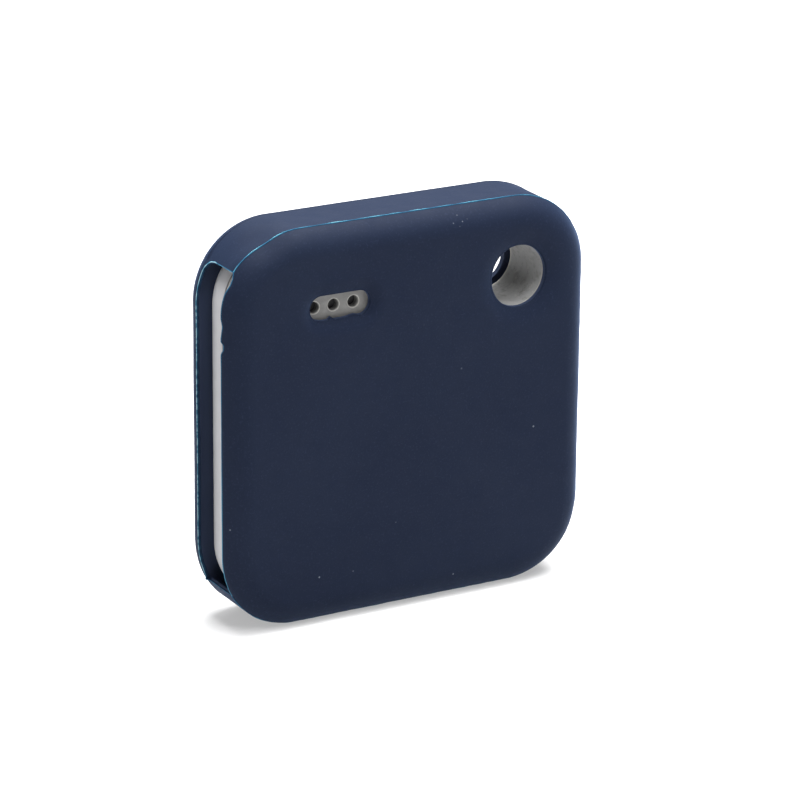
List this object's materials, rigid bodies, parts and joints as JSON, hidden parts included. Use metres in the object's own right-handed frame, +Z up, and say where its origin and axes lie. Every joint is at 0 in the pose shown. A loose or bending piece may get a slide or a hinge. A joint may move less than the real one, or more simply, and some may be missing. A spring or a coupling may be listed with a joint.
{
  "type": "bluetooth tracker tag in a silicone sleeve",
  "caption": "Square bluetooth tracker tag with round corners, a key-ring hole and a press button, in a soft silicone sleeve that it slides out of sideways.",
  "frame": {"origin": "middle of the lower edge that the tag stands on", "axes": "+Z up, +Y from the back with the sound holes to the front with the button, -X to the sleeve's mouth"},
  "size_m": [0.037, 0.0084, 0.037],
  "materials": {
    "silicone_navy": "matt moulded silicone",
    "white_plastic": "satin moulded plastic",
    "grey_plastic": "satin moulded plastic",
    "black_plastic": "matt moulded plastic",
    "seal_rubber": "soft rubber",
    "board_laminate": "solder-masked glass laminate",
    "bezel_chrome": "polished",
    "spring_steel": "rolled and plated sheet",
    "sounder_brass": "rolled sheet",
    "pale_ceramic": null
  },
  "bodies": {
    "sleeve": {"silicone_sleeve": "silicone_navy"},
    "tracker": {"front_shell": "white_plastic", "rear_frame": "white_plastic", "back_plate": "grey_plastic", "key_ring_tube_seal": "seal_rubber", "button_bezel": "bezel_chrome", "switch_dome": "spring_steel", "circuit_board": "board_laminate", "sounder_disc": "sounder_brass", "sounder_ceramic": "pale_ceramic", "sounder_gasket": "seal_rubber", "sound_hole_mesh": "black_plastic", "sounder_spring_centre": "spring_steel", "sounder_spring_edge": "spring_steel", "coin_cell_can": "spring_steel", "coin_cell_gasket": "black_plastic", "coin_cell_cap": "spring_steel", "coin_cell_cradle": "black_plastic", "cell_contact_positive": "spring_steel", "cell_contact_negative": "spring_steel", "bluetooth_chip": "black_plastic", "main_crystal": "spring_steel", "clock_crystal": "spring_steel", "chip_antenna": "pale_ceramic", "power_inductor": "black_plastic", "sounder_driver_chip": "black_plastic", "capacitor_1": "pale_ceramic", "capacitor_2": "pale_ceramic", "capacitor_3": "pale_ceramic", "capacitor_4": "pale_ceramic", "capacitor_5": "pale_ceramic", "capacitor_6": "pale_ceramic"},
    "button": {"front_button": "white_plastic", "button_seal": "seal_rubber"},
    "door": {"battery_door": "grey_plastic", "battery_door_pad": "seal_rubber"}
  },
  "joints": [
    {"name": "tracker_slide", "type": "slide", "parent": "sleeve", "child": "tracker", "axis": [-1, 0, 0], "range_m": [0, 0.039], "deforming": ["silicone_sleeve"]},
    {"name": "button_press", "type": "slide", "parent": "tracker", "child": "button", "axis": [0, -1, 0], "range_m": [0, 0.0002], "stiffness_N_per_m": 8000, "springref_m": -0.00005, "deforming": ["switch_dome"]},
    {"name": "door_slide", "type": "slide", "parent": "tracker", "child": "door", "axis": [-1, 0, 0], "range_m": [0, 0.022]}
  ]
}
